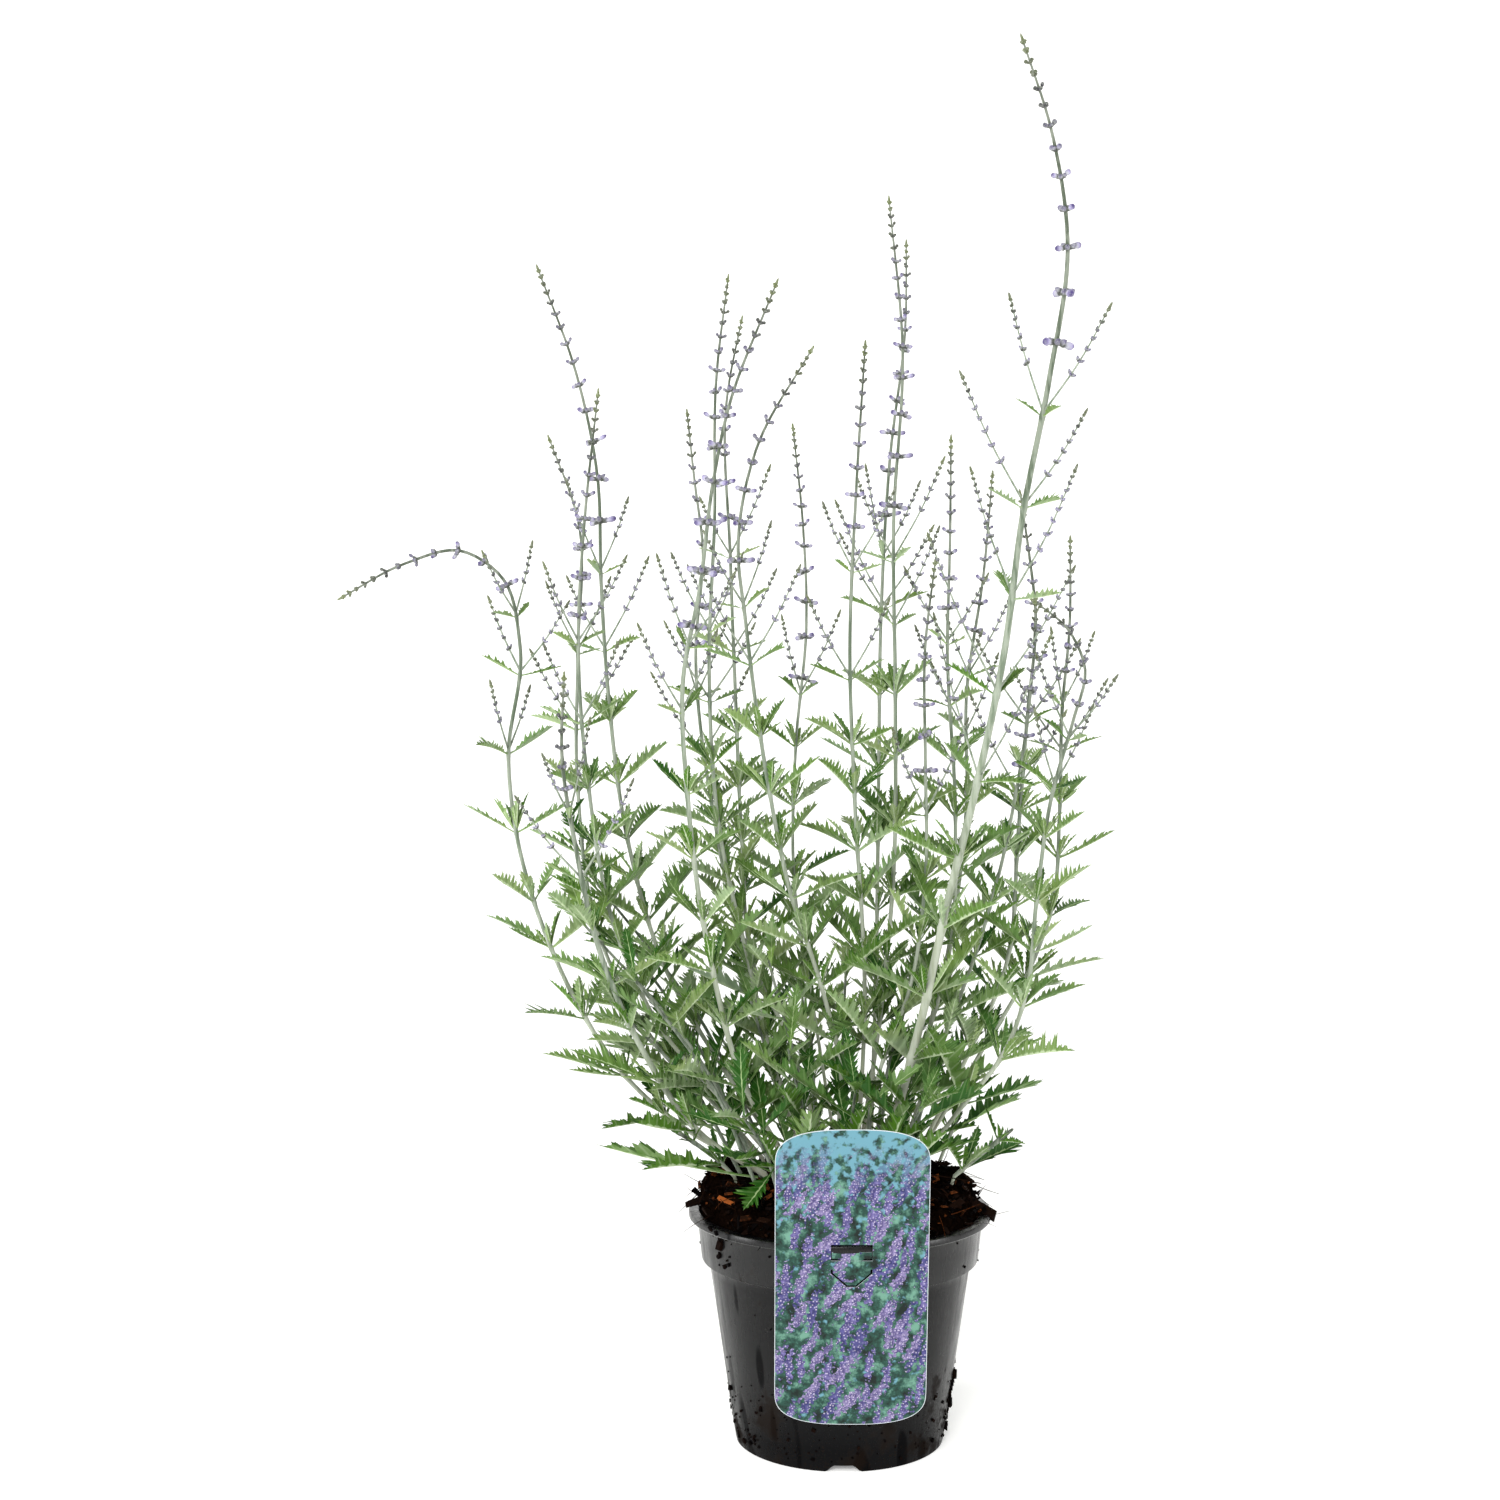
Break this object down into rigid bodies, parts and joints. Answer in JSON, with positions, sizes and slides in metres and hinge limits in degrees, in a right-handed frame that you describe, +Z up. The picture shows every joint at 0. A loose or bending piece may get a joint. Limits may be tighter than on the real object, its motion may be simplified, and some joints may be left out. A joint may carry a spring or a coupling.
{
  "type": "potted russian sage",
  "caption": "Upright perennial with cut grey-green leaves and slim bud spikes, growing in soil in a round nursery pot with a hang label.",
  "frame": {"origin": "centre of the flat middle of the pot's base, on the surface it stands on", "axes": "+Z up along the pot's axis; the label hangs on the rim at -Y; +X to the right when the label is seen from the front"},
  "size_m": [0.4385, 0.2909, 0.744],
  "materials": {
    "pot_plastic": "moulded black polypropylene, satin gloss with water marks",
    "soil": "damp bark and fibre growing medium, matt",
    "label_card": null,
    "leaf": "soft matt grey-green leaf with fine down",
    "stem": "pale downy square stem, matt",
    "bud": "downy grey-violet bud, matt"
  },
  "bodies": {
    "root": {"pot": "pot_plastic", "soil": "soil", "label": "label_card", "shoot_a": "leaf", "shoot_b": "leaf", "shoot_c": "leaf", "shoot_d": "leaf", "shoot_e": "leaf", "shoot_f": "leaf", "shoot_g": "leaf", "shoot_h": "leaf", "shoot_i": "leaf", "shoot_j": "leaf", "shoot_k": "leaf", "shoot_l": "leaf", "shoot_m": "leaf", "shoot_n": "leaf", "shoot_o": "leaf", "shoot_p": "leaf", "shoot_q": "leaf", "shoot_r": "leaf", "shoot_s": "leaf", "shoot_t": "leaf", "shoot_u": "leaf", "shoot_v": "leaf", "basal_shoot_1": "leaf", "basal_shoot_2": "leaf", "basal_shoot_3": "leaf", "basal_shoot_4": "leaf", "basal_shoot_5": "leaf", "basal_shoot_6": "leaf", "basal_shoot_7": "leaf"}
  },
  "joints": []
}
